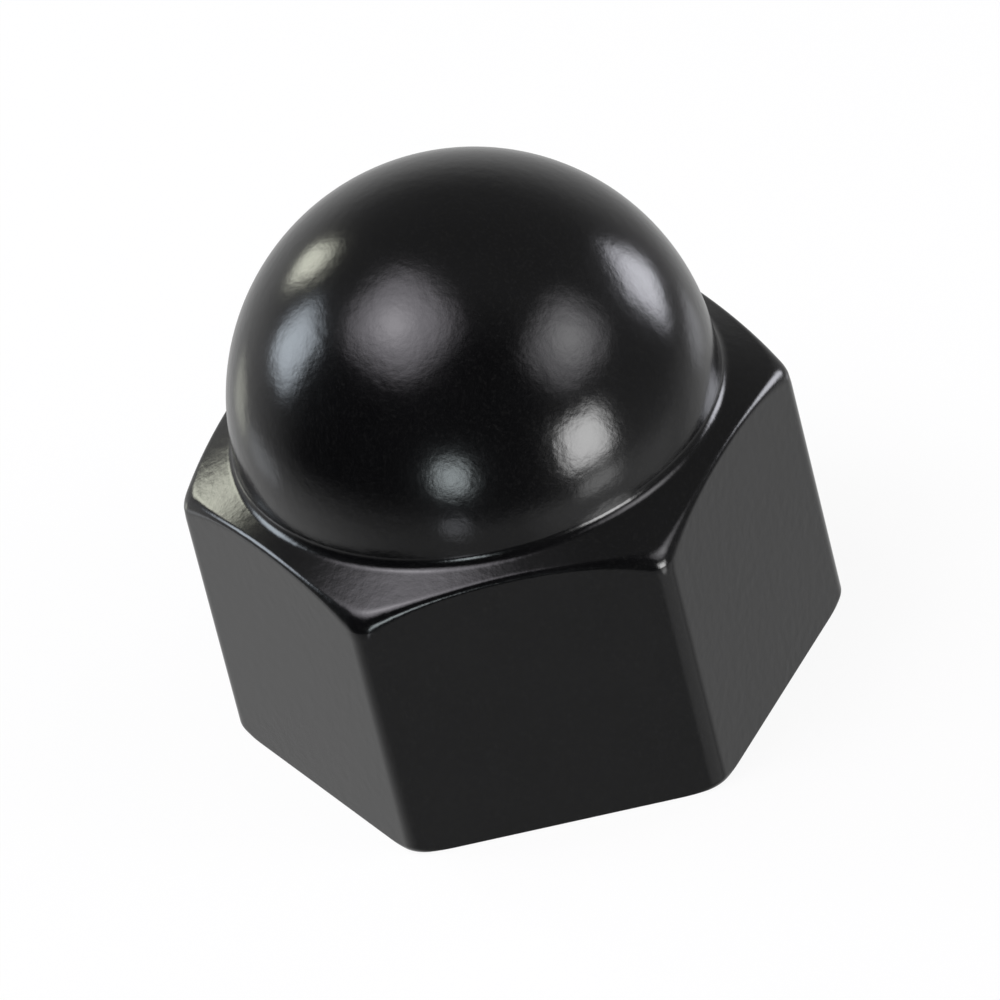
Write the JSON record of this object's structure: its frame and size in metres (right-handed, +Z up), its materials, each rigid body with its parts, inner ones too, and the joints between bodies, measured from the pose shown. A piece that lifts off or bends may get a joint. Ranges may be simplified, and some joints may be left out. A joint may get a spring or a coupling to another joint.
{
  "type": "cap nut",
  "caption": "Black hexagonal cap nut with a round dome on a conical shoulder and a closed, threaded hole in its flat base.",
  "frame": {"origin": "centre of the flat bearing face, at the mouth of the threaded hole", "axes": "+Z up the nut's axis to the top of the dome; X across two opposite flats; Y across two opposite corners"},
  "size_m": [0.019, 0.0218, 0.0207],
  "materials": {
    "black_coating": "semi-gloss black coating over steel, with soft-edged reflections"
  },
  "bodies": {
    "root": {"cap_nut": "black_coating"}
  },
  "joints": []
}
